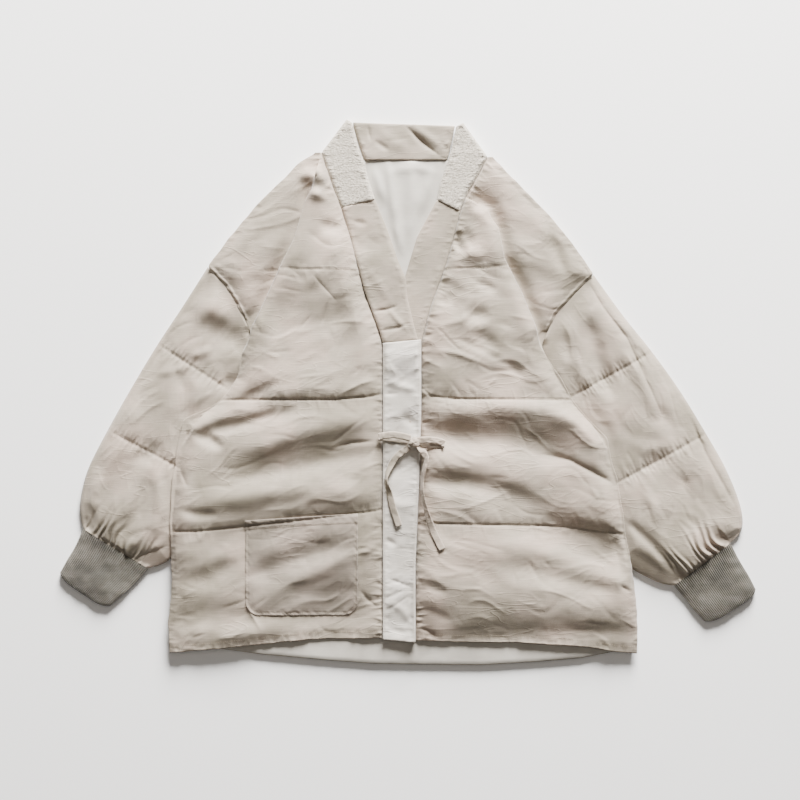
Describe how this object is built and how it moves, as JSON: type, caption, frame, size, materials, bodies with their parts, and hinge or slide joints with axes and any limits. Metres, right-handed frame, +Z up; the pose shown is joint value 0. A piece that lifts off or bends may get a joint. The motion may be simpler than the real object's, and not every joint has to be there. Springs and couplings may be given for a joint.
{
  "type": "padded wrap jacket laid flat",
  "caption": "Pale padded wrap jacket in the hanten style, laid flat: V-neck band, wide quilted sleeves with rib cuffs, placket, patch pocket and a self-fabric tie in a bow.",
  "frame": {"origin": "middle of the garment's box on the floor it lies on", "axes": "+X to the wearer's left, +Y to the collar, +Z up, away from the floor; the front faces +Z"},
  "size_m": [0.984, 0.766, 0.0324],
  "materials": {
    "shell_cloth": "soft matte",
    "lining_cloth": "smooth",
    "terry_cloth": "looped",
    "placket_cloth": "matte",
    "rib_knit": "ribbed"
  },
  "bodies": {
    "root": {"back": "shell_cloth", "right_front": "shell_cloth", "left_front": "shell_cloth", "right_sleeve": "shell_cloth", "left_sleeve": "shell_cloth", "back_neck_band": "shell_cloth", "right_band": "shell_cloth", "left_band": "shell_cloth", "pocket": "shell_cloth", "tie_knot": "shell_cloth", "tie_right_loop": "shell_cloth", "tie_left_loop": "shell_cloth", "tie_right_tail": "shell_cloth", "tie_left_tail": "shell_cloth", "back_lining": "lining_cloth", "right_band_terry": "terry_cloth", "left_band_terry": "terry_cloth", "placket": "placket_cloth", "right_cuff": "rib_knit", "left_cuff": "rib_knit"}
  },
  "joints": []
}
